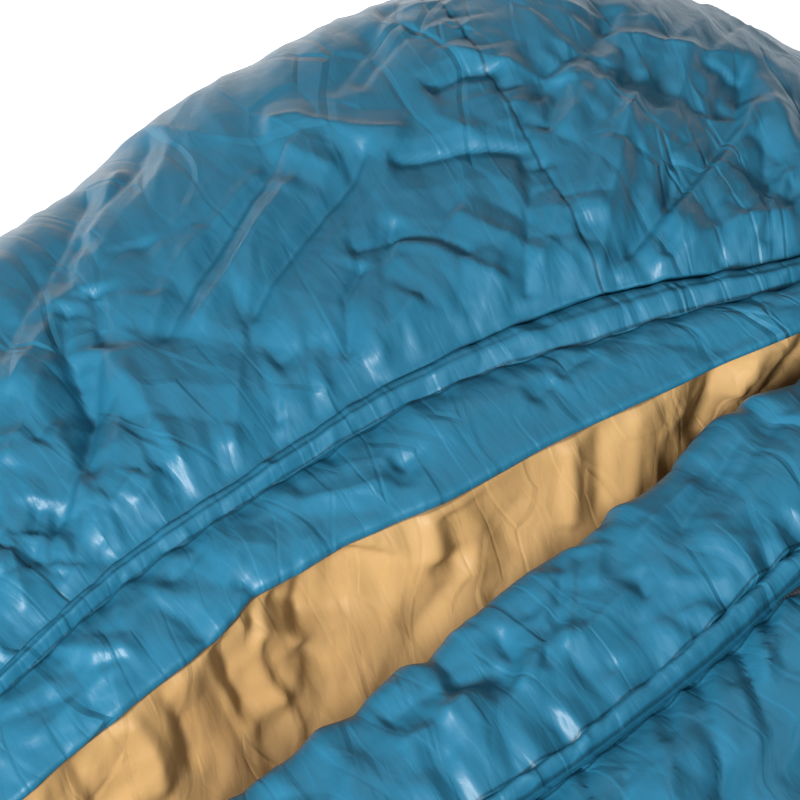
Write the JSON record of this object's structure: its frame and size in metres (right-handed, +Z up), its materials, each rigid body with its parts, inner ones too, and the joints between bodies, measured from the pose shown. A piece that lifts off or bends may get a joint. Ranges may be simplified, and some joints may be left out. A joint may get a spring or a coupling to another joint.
{
  "type": "hooded camp quilt",
  "caption": "Padded hooded sleeping quilt with a slit face opening between gathered drawcord channels, a closed foot and an open underside with pad straps.",
  "frame": {"origin": "centre of the footprint, on the ground under the quilt", "axes": "+Z up, +Y along the quilt towards the hood's crown, +X across"},
  "size_m": [0.744, 2, 0.19],
  "materials": {
    "shell": "satin",
    "lining": "satin",
    "fill": "matt",
    "mesh": "matt",
    "tunnel": "satin",
    "cord": "matt",
    "binding": "matt",
    "tape": "matt",
    "coil": "satin",
    "stop": "satin",
    "slider": "satin",
    "plastic": "satin",
    "spring": "bright",
    "eyelet": "satin",
    "webbing": "matt"
  },
  "bodies": {
    "quilt": {"body_shell": "shell", "body_lining": "lining", "fill_chamber_1": "fill", "fill_chamber_2": "fill", "fill_chamber_3": "fill", "fill_chamber_4": "fill", "fill_chamber_5": "fill", "fill_chamber_6": "fill", "fill_chamber_7": "fill", "fill_chamber_8": "fill", "fill_chamber_9": "fill", "baffle_walls": "mesh", "neck_rim_fill": "fill", "neck_cord_tunnel": "tunnel", "neck_drawcord": "cord", "neck_yoke_fill": "fill", "foot_fill": "fill", "foot_shell": "shell", "foot_lining": "lining", "edge_binding_left": "binding", "edge_binding_right": "binding", "zip_tape_left": "tape", "zip_tape_right": "tape", "zip_coil": "coil", "zip_bottom_stop": "stop", "zip_top_stops": "stop", "neck_lock_barrel": "plastic", "neck_lock_spring": "spring", "neck_cord_eyelet": "eyelet", "neck_cord_end": "plastic", "upper_strap_left": "webbing", "upper_strap_right": "webbing", "upper_buckle_socket": "plastic", "lower_strap_left": "webbing", "lower_strap_right": "webbing", "lower_buckle_socket": "plastic"},
    "hood": {"hood_shell": "shell", "hood_lining": "lining", "hood_fill_left": "fill", "hood_fill_right": "fill", "hood_fill_centre": "fill", "hood_baffle_walls": "mesh", "hood_rim_fill": "fill", "hood_cord_tunnel": "tunnel", "hood_drawcord": "cord", "hood_lock_barrel": "plastic", "hood_lock_spring": "spring", "hood_cord_eyelet": "eyelet", "hood_cord_end": "plastic"},
    "hood_lock_button": {"hood_lock_plunger": "plastic"},
    "neck_lock_button": {"neck_lock_plunger": "plastic"},
    "zip_slider": {"zip_slider": "slider"},
    "zip_pull": {"zip_pull": "slider"},
    "upper_buckle_plug": {"upper_buckle_plug": "plastic"},
    "lower_buckle_plug": {"lower_buckle_plug": "plastic"}
  },
  "joints": [
    {"name": "hood_tilt", "type": "hinge", "parent": "quilt", "child": "hood", "pos_m": [0, 0.75474, 0.07], "axis": [1, 0, 0], "range_deg": [0, 20]},
    {"name": "hood_lock_press", "type": "slide", "parent": "hood", "child": "hood_lock_button", "axis": [0, 0, -1], "range_m": [0, 0.004], "stiffness_N_per_m": 600, "springref_m": -0.003, "deforming": ["hood_lock_spring"]},
    {"name": "neck_lock_press", "type": "slide", "parent": "quilt", "child": "neck_lock_button", "axis": [0, 0, -1], "range_m": [0, 0.004], "stiffness_N_per_m": 600, "springref_m": -0.003, "deforming": ["neck_lock_spring"]},
    {"name": "zip_travel", "type": "slide", "parent": "quilt", "child": "zip_slider", "axis": [0, -1, 0], "range_m": [0, 0.45]},
    {"name": "zip_pull_swing", "type": "hinge", "parent": "zip_slider", "child": "zip_pull", "pos_m": [0, -0.4445, 0.0056], "axis": [1, 0, 0], "range_deg": [0, 175]},
    {"name": "upper_buckle_release", "type": "slide", "parent": "quilt", "child": "upper_buckle_plug", "axis": [1, 0, 0], "range_m": [0, 0.028], "deforming": ["upper_strap_right"]},
    {"name": "lower_buckle_release", "type": "slide", "parent": "quilt", "child": "lower_buckle_plug", "axis": [1, 0, 0], "range_m": [0, 0.028], "deforming": ["lower_strap_right"]}
  ]
}
